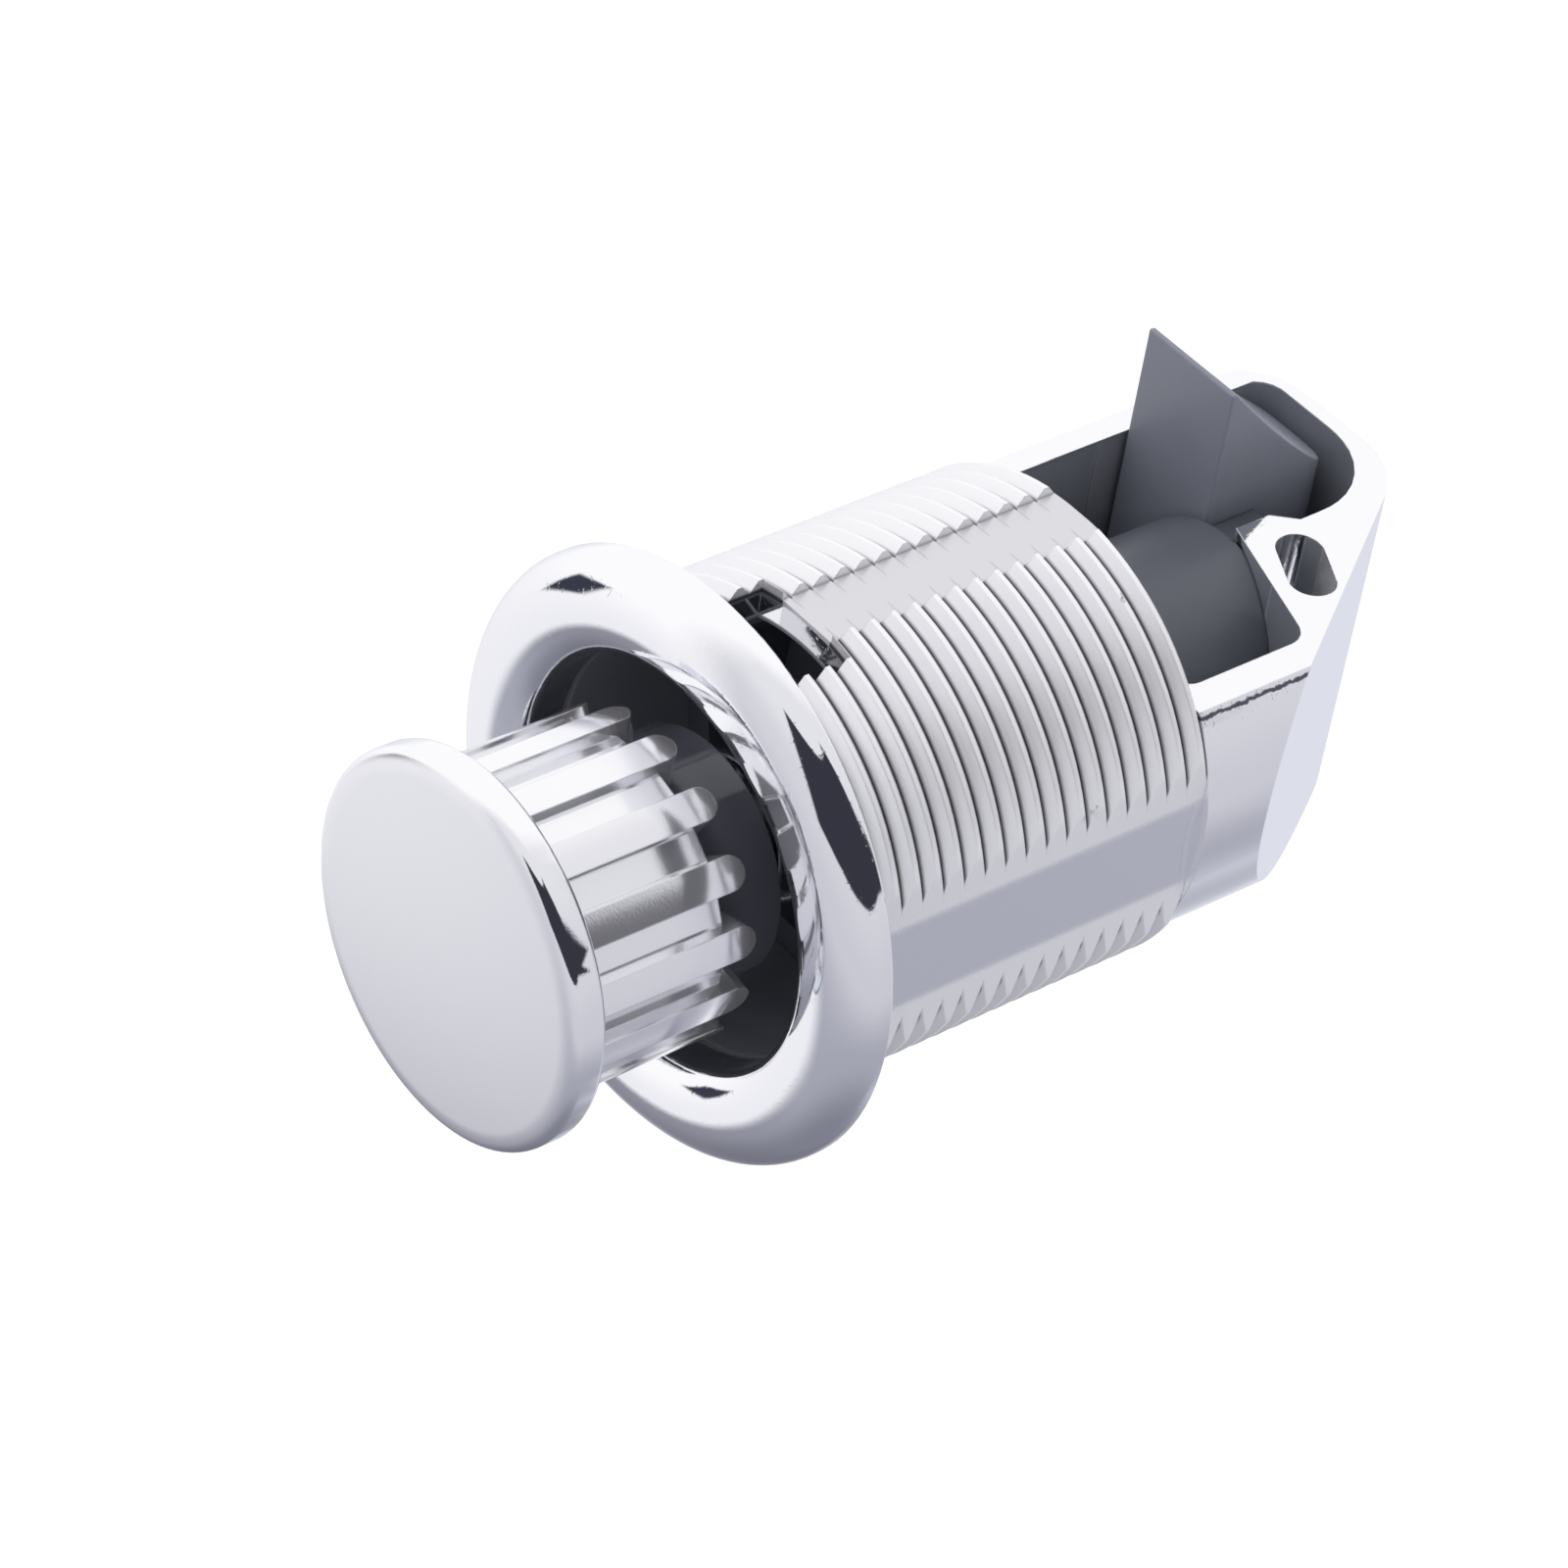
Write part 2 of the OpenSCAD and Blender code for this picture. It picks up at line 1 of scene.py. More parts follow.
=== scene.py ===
# %% [markdown]
# A pushbutton cabinet latch, dressed for its picture. The solids come ready made, at their
# real size, and this file gives them their finishes: bright chrome on zinc, dark nylon,
# spring steel and acetal. Everything is in metres, in the latch's own frame: +Y runs along
# the barrel away from the button, and +Z is the way the bolt points.

# %% Imports and the finished solids
import json
from math import cos, pi, radians, sin, tau

import bmesh
import bpy
from mathutils import Matrix, Vector


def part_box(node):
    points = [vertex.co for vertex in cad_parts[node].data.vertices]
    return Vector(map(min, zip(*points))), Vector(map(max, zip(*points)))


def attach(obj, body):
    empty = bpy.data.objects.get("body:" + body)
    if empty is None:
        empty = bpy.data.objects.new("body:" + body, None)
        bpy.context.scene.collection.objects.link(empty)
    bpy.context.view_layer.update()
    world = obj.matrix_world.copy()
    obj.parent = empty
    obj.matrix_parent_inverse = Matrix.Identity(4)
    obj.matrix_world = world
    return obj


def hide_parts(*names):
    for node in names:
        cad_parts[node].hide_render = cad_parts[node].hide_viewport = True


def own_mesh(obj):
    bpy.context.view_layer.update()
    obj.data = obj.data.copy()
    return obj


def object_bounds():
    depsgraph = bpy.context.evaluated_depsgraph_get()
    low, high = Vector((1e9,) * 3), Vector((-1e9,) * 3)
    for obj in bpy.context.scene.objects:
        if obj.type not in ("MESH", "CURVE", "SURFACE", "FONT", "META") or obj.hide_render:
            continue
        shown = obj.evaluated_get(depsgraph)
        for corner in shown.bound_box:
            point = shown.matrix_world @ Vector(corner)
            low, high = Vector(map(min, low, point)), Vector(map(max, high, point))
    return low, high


MM = 0.001
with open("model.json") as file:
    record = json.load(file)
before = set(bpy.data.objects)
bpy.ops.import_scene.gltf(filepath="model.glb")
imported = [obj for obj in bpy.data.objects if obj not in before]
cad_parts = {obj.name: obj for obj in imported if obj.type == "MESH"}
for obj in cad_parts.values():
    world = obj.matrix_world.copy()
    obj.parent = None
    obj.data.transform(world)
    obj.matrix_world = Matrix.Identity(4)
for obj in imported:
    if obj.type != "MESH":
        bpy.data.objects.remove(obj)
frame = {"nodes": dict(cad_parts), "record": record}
nodes = frame["nodes"]
body_of = {n: b for b, held in frame["record"]["behaviour"]["bodies"].items() for n in held}
solid_low, solid_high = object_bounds()
print("solids:", ", ".join(sorted(nodes)))
print("box in mm:", [round(v / MM, 1) for v in solid_high - solid_low])

# %% [markdown]
# The camera comes first, because every choice after it is judged through it. The view is
# nearly flat, as from a long lens a third of a metre away, which is how a small part is
# photographed for a catalogue. Its place is given as a photographer would say it: how far
# round the latch, how high, how far off, and how much the camera leans.

# %% Camera
VIEW_AZIMUTH = 45.1
VIEW_ELEVATION = 39.3
VIEW_ROLL = 9.9
VIEW_DISTANCE = 0.3234
LENS_MM = 156.7
SENSOR_MM = 36.0
IMAGE_SIDE = 1600
AIM_PIXEL = (699.7, 870.5)


def direction(azimuth, elevation):
    """Unit vector from the latch, with azimuth 0 in front of its button and 90 on its +X side."""
    a, e = radians(azimuth), radians(elevation)
    return Vector((sin(a) * cos(e), -cos(a) * cos(e), sin(e)))


def camera_axes(azimuth, elevation, roll):
    """The camera's right, up and back directions."""
    back = direction(azimuth, elevation)
    level = Vector((0, 0, 1)).cross(back).normalized()
    above = back.cross(level)
    r = radians(roll)
    right = level * cos(r) + above * sin(r)
    return right, back.cross(right), back


def make_camera():
    right, up, back = camera_axes(VIEW_AZIMUTH, VIEW_ELEVATION, VIEW_ROLL)
    camera = bpy.data.objects.new("camera", bpy.data.cameras.new("camera"))
    camera.data.lens = LENS_MM
    camera.data.sensor_width = SENSOR_MM
    camera.data.clip_start = 0.01
    metres_per_pixel = VIEW_DISTANCE * SENSOR_MM / LENS_MM / IMAGE_SIDE
    across = (IMAGE_SIDE / 2 - AIM_PIXEL[0]) * metres_per_pixel
    down = (IMAGE_SIDE / 2 - AIM_PIXEL[1]) * metres_per_pixel
    place = back * VIEW_DISTANCE + right * across - up * down
    turn = Matrix((right, up, back)).transposed().to_4x4()
    camera.matrix_world = Matrix.Translation(place) @ turn
    bpy.context.scene.collection.objects.link(camera)
    bpy.context.scene.camera = camera
    print("camera at", [round(v, 4) for v in place])


make_camera()

# %% [markdown]
# Two small helpers serve all the finishes. One turns a hex colour, as a paint chart gives
# it, into the linear values that light is worked out in. The other adds one node to a
# material or a world, with its settings and its links, and can hand on one of its outputs.
# The kinds of node that are used most get short names, and SOFT makes a range ease in and
# out at its ends.


# %% Colour and node helpers
MATHS = "ShaderNodeMath"
VECTOR = "ShaderNodeVectorMath"
RANGE = "ShaderNodeMapRange"
MIX = "ShaderNodeMix"
NOISE = "ShaderNodeTexNoise"
BUMP = "ShaderNodeBump"
BEVEL = "ShaderNodeBevel"
SOFT = {"interpolation_type": "SMOOTHSTEP"}


def linear(hex_colour):
    """Linear red, green, blue and full alpha of an sRGB hex colour."""
    parts = [int(hex_colour[i : i + 2], 16) / 255 for i in (1, 3, 5)]
    return [p / 12.92 if p <= 0.04045 else ((p + 0.055) / 1.055) ** 2.4 for p in parts] + [1.0]


def add(tree, kind, inputs=(), out=None, **settings):
    """Adds a node and gives it back, or only its output out.

    The inputs come in order in a list, or by name or number in a dict. Each is a value, or
    another node's output to link.
    """
    node = tree.nodes.new(kind)
    for name, value in settings.items():
        setattr(node, name, value)
    pairs = inputs.items() if isinstance(inputs, dict) else enumerate(inputs)
    for key, value in pairs:
        socket = node.inputs[key]
        if isinstance(value, bpy.types.NodeSocket):
            tree.links.new(value, socket)
        else:
            socket.default_value = value
    return node if out is None else node.outputs[out]


print("mid grey is", [round(v, 3) for v in linear("#808080")])

# %% [markdown]
# Chrome has no colour of its own: it shows the room. So the room is made first, as the
# world. It is a white tent with a greyer side towards the camera, where the photographer
# stands, a grey table below, and a few cards hung in it. A direction's azimuth and
# elevation say what is there. Only reflections see this room. Matt surfaces get an even
# white light, and the camera sees plain white behind the latch.

# %% Room that the chrome shows
TENT_WHITE = "#FFFFFF"
TENT_FOOT = "#F0F0F4"
FLOOR_EDGE = "#8E8F9A"
FLOOR_BELOW = "#74757F"
NEAR_ROOF = "#E6E6EA"
NEAR_WALL = "#D6D6DC"
NEAR_TABLE = "#CBCBD3"
TABLE_EDGE = "#A6A7B3"
TABLE_BELOW = "#80818E"
BACKGROUND = "#FDFDFD"
NEAR_SIDE_AZIMUTH = 68
NEAR_SIDE_BLEND = (-0.3, 0.05)
EVEN_LIGHT = 0.75

# The tent's colours from straight below (0) to straight above (1), on the side far from the
# camera and on the side near it.
FAR_STOPS = [(0.0, FLOOR_BELOW), (0.11, FLOOR_EDGE), (0.165, TENT_FOOT), (0.5, TENT_WHITE)]
NEAR_STOPS = [
    (0.0, TABLE_BELOW),
    (0.14, TABLE_EDGE),
    (0.32, NEAR_TABLE),
    (0.62, NEAR_WALL),
    (0.95, NEAR_ROOF),
]

# Each card: azimuth and elevation of its middle, half its width and half its height in
# degrees, the softness of its edge, and its colour. The first is the photographer's own
# dark side, the second a small flag, and the third a pale blue wall behind the latch.
CARDS = [
    ((70, 35), 56, 26, 0.03, "#34353F"),
    ((-60, -13), 7, 7, 0.20, "#3A3B49"),
    ((200, -35), 40, 18, 0.60, "#DDE0EA"),
]


def card_mask(tree, view, middle, half_wide, half_high, edge):
    """1 inside a square card on the tent's wall, 0 outside."""
    azimuth, elevation = middle
    ahead = add(tree, VECTOR, [view, direction(azimuth, 0)], "Value", operation="DOT_PRODUCT")
    aside = add(tree, VECTOR, [view, direction(azimuth + 90, 0)], "Value", operation="DOT_PRODUCT")
    turn = add(tree, MATHS, [aside, ahead], 0, operation="ARCTAN2")
    height = add(tree, VECTOR, [view, (0, 0, 1)], "Value", operation="DOT_PRODUCT")
    rise = add(tree, MATHS, [height], 0, operation="ARCSINE")
    rise = add(tree, MATHS, [rise, radians(elevation)], 0, operation="SUBTRACT")
    reach = 0.0
    for angle, half in ((turn, half_wide), (rise, half_high)):
        share = add(tree, MATHS, [angle, radians(half)], 0, operation="DIVIDE")
        share = add(tree, MATHS, [share], 0, operation="ABSOLUTE")
        reach = add(tree, MATHS, [reach, share], 0, operation="MAXIMUM")
    return add(tree, RANGE, [reach, 1 - edge, 1 + edge, 1.0, 0.0], 0, **SOFT)


def make_room():
    world = bpy.data.worlds.new("studio tent")
    bpy.context.scene.world = world
    world.use_nodes = True
    tree = world.node_tree
    tree.nodes.clear()
    view = add(tree, "ShaderNodeTexCoord", out="Generated")
    height = add(tree, VECTOR, [view, (0, 0, 1)], "Value", operation="DOT_PRODUCT")
    height = add(tree, MATHS, [height, 0.5, 0.5], 0, operation="MULTIPLY_ADD")
    sides = []
    for stops in (FAR_STOPS, NEAR_STOPS):
        node = add(tree, "ShaderNodeValToRGB", [height])
        node.color_ramp.interpolation = "EASE"
        elements = node.color_ramp.elements
        while len(elements) < len(stops):
            elements.new(0.5)
        for element, (place, colour) in zip(elements, stops):
            element.position = place
            element.color = linear(colour)
        sides.append(node.outputs["Color"])
    towards = add(
        tree, VECTOR, [view, direction(NEAR_SIDE_AZIMUTH, 0)], "Value", operation="DOT_PRODUCT"
    )
    is_near = add(tree, RANGE, [towards, *NEAR_SIDE_BLEND], 0, **SOFT)
    shown = add(tree, MIX, {0: is_near, 6: sides[0], 7: sides[1]}, 2, data_type="RGBA")
    for middle, wide, high, edge, colour in CARDS:
        mask = card_mask(tree, view, middle, wide, high, edge)
        shown = add(tree, MIX, {0: mask, 6: shown, 7: linear(colour)}, 2, data_type="RGBA")
    path = add(tree, "ShaderNodeLightPath")
    room = add(tree, "ShaderNodeBackground", {"Color": shown})
    even = add(tree, "ShaderNodeBackground", {"Color": linear("#FFFFFF"), "Strength": EVEN_LIGHT})
    plain = add(tree, "ShaderNodeBackground", {"Color": linear(BACKGROUND)})
    by_gloss = {0: path.outputs["Is Glossy Ray"], 1: even.outputs[0], 2: room.outputs[0]}
    lit = add(tree, "ShaderNodeMixShader", by_gloss)
    by_camera = {0: path.outputs["Is Camera Ray"], 1: lit.outputs[0], 2: plain.outputs[0]}
    seen = add(tree, "ShaderNodeMixShader", by_camera)
    add(tree, "ShaderNodeOutputWorld", {"Surface": seen.outputs[0]})
    print("room of", len(tree.nodes), "nodes and", len(CARDS), "cards")


make_room()

# %% [markdown]
# The floor is a plain pale sheet well below the latch, so that its shadow stays soft. The
# camera sees it as white paper, dimmed only where the latch keeps light off. Reflections
# pass through it to the room beyond, and so does a view from underneath.

# %% Floor
FLOOR_DROP = 0.075
FLOOR_SIDE = 3.0
FLOOR_PAPER = "#F4F4F5"
FLOOR_LIFT = 0.30


def make_floor(low_z):
    mesh = bpy.data.meshes.new("floor")
    h = FLOOR_SIDE / 2
    mesh.from_pydata([(-h, -h, 0), (h, -h, 0), (h, h, 0), (-h, h, 0)], [], [(0, 1, 2, 3)])
    floor = bpy.data.objects.new("floor", mesh)
    floor.location = (0, 0, low_z - FLOOR_DROP)
    bpy.context.scene.collection.objects.link(floor)
    floor.visible_glossy = False
    floor.visible_transmission = False
    paper = bpy.data.materials.new("white paper sweep")
    paper.use_nodes = True
    tree = paper.node_tree
    tree.nodes.clear()
    path = add(tree, "ShaderNodeLightPath")
    matt = add(tree, "ShaderNodeBsdfDiffuse", {"Color": linear(FLOOR_PAPER)})
    glow = add(tree, MATHS, [path.outputs["Is Camera Ray"], FLOOR_LIFT], 0, operation="MULTIPLY")
    lift = add(tree, "ShaderNodeEmission", {"Color": linear("#FFFFFF"), "Strength": glow})
    lit = add(tree, "ShaderNodeAddShader", {0: matt.outputs[0], 1: lift.outputs[0]})
    clear = add(tree, "ShaderNodeBsdfTransparent")
    back = add(tree, "ShaderNodeNewGeometry", out="Backfacing")
    both = add(tree, "ShaderNodeMixShader", {0: back, 1: lit.outputs[0], 2: clear.outputs[0]})
    add(tree, "ShaderNodeOutputMaterial", {"Surface": both.outputs[0]})
    mesh.materials.append(paper)
    print("floor", round(FLOOR_DROP / MM), "mm below the latch")


make_floor(solid_low.z)

# %% [markdown]
# One broad lamp above and behind gives the matt plastic its shape. It is kept out of the
# reflections, because the chrome already shows the tent that the lamp stands for.

# %% Lamp
LAMP_WATTS = 0.9
LAMP_SIDE = 0.35
LAMP_DISTANCE = 0.55
LAMP_AZIMUTH = -70
LAMP_ELEVATION = 72


def make_lamp():
    lamp = bpy.data.objects.new("soft lamp", bpy.data.lights.new("soft lamp", "AREA"))
    lamp.data.size = LAMP_SIDE
    lamp.data.energy = LAMP_WATTS
    towards = direction(LAMP_AZIMUTH, LAMP_ELEVATION)
    middle = (solid_low + solid_high) / 2
    lamp.location = middle + towards * LAMP_DISTANCE
    lamp.rotation_euler = towards.to_track_quat("Z", "Y").to_euler()
    lamp.visible_glossy = False
    bpy.context.scene.collection.objects.link(lamp)
    print("lamp of", LAMP_WATTS, "W")


make_lamp()

# %% [markdown]
# Every finish below starts the same way: a material with one surface shader, and the
# position on the solid in millimetres. A noise whose scale is 1 over a size then has blots
# of that size, so each grain or nick has a real one. A bump's distance is how far a height
# of 1 stands out. A bevel node rounds each sharp edge a little for the light, as plating
# and tumbling do.


# %% Start of a finish
def start_finish(name, **surface):
    """A named material, its surface shader and the place on the solid in millimetres."""
    material = bpy.data.materials.new(name)
    material.use_nodes = True
    tree = material.node_tree
    shader = tree.nodes["Principled BSDF"]
    for socket, value in surface.items():
        shader.inputs[socket.replace("_", " ")].default_value = value
    place = add(tree, "ShaderNodeTexCoord", out="Object")
    inputs = {"Vector": place, "Scale": 1 / MM}
    in_mm = add(tree, VECTOR, inputs, "Vector", operation="SCALE")
    return material, tree, shader, in_mm


print("each finish works in millimetres")

# %% [markdown]
# The housing is die-cast zinc with bright chrome over copper and nickel. Chrome is a hard
# metal mirror, a little blue. On a casting it is never quite flat: the metal under it has
# slow waves about 2 mm long and a few fine pits. Plating hardly reaches the bottom of a
# narrow groove or a deep recess. The thread's roots are painted dark, which is also painted
# shade in its grooves. The bore, the pocket, the bolt's slot and the hole in the tail are
# painted a dull zinc grey, which is also painted shade in them. The thread wasn't polished
# before plating, so it scatters part of the light: a mix of mirror and matt. It carries
# nicks from handling, and a ragged dark line is painted just under one edge of the tail.

# %% Bright chrome on the zinc casting
CHROME = "#FBFBFE"
CHANNEL_SKIN = "#DDDDE2"
# Painted shade in the thread's roots, where the plating is also thin.
ROOT_PAINTED_SHADE = "#4E4F58"
# Dull zinc grey in the hollows: thin plating, and painted shade there.
HOLLOW_ZINC_AND_SHADE = "#888B96"
# Colour of a ragged dark line painted just under one edge of the tail.
DARK_EDGE_LINE = "#62636E"
CHROME_ROUGHNESS = 0.05
THREAD_ROUGHNESS = 0.32
THREAD_MIRROR = 0.55
ZINC_ROUGHNESS = 0.5
BORDER_MM = 0.1
FINE_EDGE_MM = 0.04
CUT_EDGE_MM = 0.05
CASTING_ROUND_MM = 0.09
WAVE_MM = 2.2
WAVE_DEPTH_MM = 0.004
PIT_MM = 0.25
PIT_NOISE = (0.60, 0.72)
PIT_DEPTH_MM = 0.0015
THREAD_START_MM = 0.4
THREAD_END_MM = 22.3
THREAD_ROOT_MM = 12.08
THREAD_BELOW_ROOT_MM = 0.3
ROOT_DEPTH_MM = 0.22
CHANNEL_MM = ((0, 12.5, 12.0), (1.75, 12.5, 1.5))
SIDE_FLAT_MM = 11.5
BORE_MM = (10.7, 0.4, 22.4)
BORE_FADE_MM = (0.2, 0.6)
HOLE_TURN = 27.5
HOLLOWS_MM = [
    ((4.05, 34.75, 5.0), (2.3, 1.25, 1.82), HOLE_TURN),
    ((-1.1, 27.3, -1.1), (8.8, 4.9, 7.92), 0),
    ((-4.3, 38.0, -1.1), (4.6, 5.6, 7.92), 0),
]
TAIL_SKIN_MM = 11.4
DARK_LINE_MM = ((10.6, 26.0, 6.6), (1.6, 3.8, 0.09))
DARK_LINE_WAVE_MM = 0.35
DARK_LINE_WANDER_MM = 0.3
NICKS_MM = [((11.74, 14.6, 4.85), 0.75), ((5.6, 20.4, 11.4), 0.5), ((8.8, 20.4, 9.2), 0.4)]
NICK_DEPTH_MM = 0.30
NICK_RAGGED_MM = 0.3
NICK_RAGGEDNESS = 0.9
NICK_RIM = (0.6, 1.3)


def distance_from_axis(tree, place):
    """Distance from the barrel's axis, and the place along it, in millimetres."""
    parts = add(tree, "ShaderNodeSeparateXYZ", {0: place})
    x, y, z = (parts.outputs[k] for k in "XYZ")
    squares = add(tree, MATHS, [z, z], 0, operation="MULTIPLY")
    squares = add(tree, MATHS, [x, x, squares], 0, operation="MULTIPLY_ADD")
    radius = add(tree, MATHS, [squares], 0, operation="SQRT")
    return radius, y


def inside_box(tree, place, middle, reach, edge, turn=0):
    """1 inside a box round a point, 0 outside, with soft sides. The box may be turned about Z."""
    away = add(tree, VECTOR, [place, middle], "Vector", operation="SUBTRACT")
    c, s = cos(radians(turn)), sin(radians(turn))
    mask = 1.0
    for axis, half in zip(((c, -s, 0), (s, c, 0), (0, 0, 1)), reach):
        far = add(tree, VECTOR, [away, axis], "Value", operation="DOT_PRODUCT")
        far = add(tree, MATHS, [far], 0, operation="ABSOLUTE")
        within = add(tree, RANGE, [far, half - edge, half + edge, 1.0, 0.0], 0, **SOFT)
        mask = add(tree, MATHS, [mask, within], 0, operation="MULTIPLY")
    return mask


def nick_relief(tree, place):
    """0 at the heart of each nick and 1 on sound metal, with ragged rims."""
    ragged = add(tree, NOISE, {"Vector": place, "Scale": 1 / NICK_RAGGED_MM, "Detail": 3.0}, "Fac")
    relief = 1.0
    for middle, radius in NICKS_MM:
        away = add(tree, VECTOR, [place, middle], "Value", operation="DISTANCE")
        reach = add(tree, MATHS, [ragged, NICK_RAGGEDNESS, away], 0, operation="MULTIPLY_ADD")
        sound = add(tree, RANGE, [reach, radius * NICK_RIM[0], radius * NICK_RIM[1]], 0, **SOFT)
        relief = add(tree, MATHS, [relief, sound], 0, operation="MULTIPLY")
    return relief


def hollow_shade_mask(tree, place, radius, distance):
    """1 in the bore, the pocket, the bolt's slot and the oval hole, where plating is thin and
    shade is painted.
    """
    reach, start, end = BORE_MM
    inner = add(tree, RANGE, [radius, reach - BORDER_MM, reach + BORDER_MM, 1.0, 0.0], 0, **SOFT)
    fade_in, fade_out = BORE_FADE_MM
    behind = add(tree, RANGE, [distance, start - fade_in, start + fade_out], 0, **SOFT)
    inner = add(tree, MATHS, [inner, behind], 0, operation="MULTIPLY")
    before = add(tree, RANGE, [distance, end, end + BORDER_MM, 1.0, 0.0], 0, **SOFT)
    mask = add(tree, MATHS, [inner, before], 0, operation="MULTIPLY")
    for middle, half, turn in HOLLOWS_MM:
        box = inside_box(tree, place, middle, half, FINE_EDGE_MM, turn)
        mask = add(tree, MATHS, [mask, box], 0, operation="MAXIMUM")
    under_skin = add(
        tree, RANGE, [radius, TAIL_SKIN_MM, TAIL_SKIN_MM + BORDER_MM, 1.0, 0.0], 0, **SOFT
    )
    return add(tree, MATHS, [mask, under_skin], 0, operation="MULTIPLY")


def thread_mask(tree, radius, distance):
    """1 in the thread's length and outside its root, 0 elsewhere."""
    root = THREAD_ROOT_MM
    outside = add(tree, RANGE, [radius, root - THREAD_BELOW_ROOT_MM, root - BORDER_MM], 0, **SOFT)
    start, end = THREAD_START_MM, THREAD_END_MM
    behind = add(tree, RANGE, [distance, start - BORDER_MM, start + BORDER_MM], 0, **SOFT)
    before = add(tree, RANGE, [distance, end - BORDER_MM, end + BORDER_MM, 1.0, 0.0], 0, **SOFT)
    mask = add(tree, MATHS, [outside, behind], 0, operation="MULTIPLY")
    return add(tree, MATHS, [mask, before], 0, operation="MULTIPLY")


def chrome_casting():
    material, tree, shader, place = start_finish("bright chrome on cast zinc")
    radius, distance = distance_from_axis(tree, place)
    on_thread = thread_mask(tree, radius, distance)
    depth = add(
        tree, RANGE, [radius, THREAD_ROOT_MM, THREAD_ROOT_MM + ROOT_DEPTH_MM, 1.0, 0.0], 0, **SOFT
    )
    sideways = add(tree, VECTOR, [place, (1, 0, 0)], "Value", operation="DOT_PRODUCT")
    flat_start, flat_end = SIDE_FLAT_MM - CUT_EDGE_MM, SIDE_FLAT_MM + CUT_EDGE_MM
    off_flat = add(tree, RANGE, [sideways, flat_start, flat_end, 1.0, 0.0], 0, **SOFT)
    in_channel = inside_box(tree, place, *CHANNEL_MM, CUT_EDGE_MM)
    off_channel = add(tree, MATHS, [1.0, in_channel], 0, operation="SUBTRACT")
    cut = add(tree, MATHS, [off_flat, off_channel], 0, operation="MULTIPLY")
    root = add(tree, MATHS, [depth, on_thread], 0, operation="MULTIPLY")
    root = add(tree, MATHS, [root, cut], 0, operation="MULTIPLY")
    colour = add(
        tree,
        MIX,
        {0: off_channel, 6: linear(CHANNEL_SKIN), 7: linear(CHROME)},
        2,
        data_type="RGBA",
    )
    # Painted shade: the thread's roots are darkened towards their bottom, where the plating is
    # also thin.
    colour = add(tree, MIX, {0: root, 6: colour, 7: linear(ROOT_PAINTED_SHADE)}, 2, data_type="RGBA")
    # Painted shade: the hollows take a dull zinc grey, for thin plating and for the shade in them.
    hollow = hollow_shade_mask(tree, place, radius, distance)
    colour = add(tree, MIX, {0: hollow, 6: colour, 7: linear(HOLLOW_ZINC_AND_SHADE)}, 2, data_type="RGBA")
    mirror = add(tree, RANGE, [on_thread, 0, 1, 1.0, THREAD_MIRROR], 0, **SOFT)
    solid = add(tree, MATHS, [1.0, hollow], 0, operation="SUBTRACT")
    mirror = add(tree, MATHS, [mirror, solid], 0, operation="MULTIPLY")
    tree.links.new(mirror, shader.inputs["Metallic"])
    # A ragged dark line is painted just under one edge of the tail.
    cloud = add(tree, NOISE, {"Vector": place, "Scale": 1 / DARK_LINE_WAVE_MM, "Detail": 3.0}, "Fac")
    wander = add(
        tree, MATHS, [cloud, DARK_LINE_WANDER_MM, -DARK_LINE_WANDER_MM / 2], 0, operation="MULTIPLY_ADD"
    )
    upwards = add(tree, "ShaderNodeCombineXYZ", {"Z": wander}, 0)
    shaken = add(tree, VECTOR, [place, upwards], "Vector", operation="ADD")
    dark_line = inside_box(tree, shaken, *DARK_LINE_MM, FINE_EDGE_MM)
    colour = add(tree, MIX, {0: dark_line, 6: colour, 7: linear(DARK_EDGE_LINE)}, 2, data_type="RGBA")
    tree.links.new(colour, shader.inputs["Base Color"])
    rough = add(tree, RANGE, [on_thread, 0, 1, CHROME_ROUGHNESS, THREAD_ROUGHNESS], 0, **SOFT)
    dull = add(tree, MATHS, [hollow, ZINC_ROUGHNESS], 0, operation="MULTIPLY")
    rough = add(tree, MATHS, [rough, dull], 0, operation="MAXIMUM")
    tree.links.new(rough, shader.inputs["Roughness"])
    pits = add(tree, NOISE, {"Vector": place, "Scale": 1 / PIT_MM, "Detail": 2.0}, "Fac")
    pits = add(tree, RANGE, [pits, *PIT_NOISE], 0, **SOFT)
    waves = add(tree, NOISE, {"Vector": place, "Scale": 1 / WAVE_MM, "Detail": 1.0}, "Fac")
    nicks = nick_relief(tree, place)
    normal = add(tree, BEVEL, {"Radius": CASTING_ROUND_MM * MM}, "Normal", samples=4)
    normal = add(
        tree, BUMP, {"Height": waves, "Distance": WAVE_DEPTH_MM * MM, "Normal": normal}, "Normal"
    )
    normal = add(
        tree, BUMP, {"Height": pits, "Distance": PIT_DEPTH_MM * MM, "Normal": normal}, "Normal"
    )
    normal = add(
        tree, BUMP, {"Height": nicks, "Distance": NICK_DEPTH_MM * MM, "Normal": normal}, "Normal"
    )
    tree.links.new(normal, shader.inputs["Normal"])
    return material


# %% [markdown]
# The button is plated the same way, but its face was brushed fine before plating, which
# makes it satin: it shows the light as one soft gradient and no picture of the room. The
# fluted stem wasn't polished between its ribs, so it is part mirror and part matt. Behind
# it the neck stays inside the barrel, where the plating is thin and dull: its dark colour
# is also painted shade inside the barrel.

# %% Chrome of the button, with a satin face
FACE_ROUGHNESS = 0.34
STEM_ROUGHNESS = 0.11
STEM_MIRROR = 0.85
NECK_START_MM = -3.9
NECK_START_FADE_MM = (0.1, 0.3)
NECK_RADIUS_MM = 6.3
NECK_RADIUS_FADE_MM = (0.2, 0.4)
NECK_ZINC_AND_SHADE = "#5C5E69"
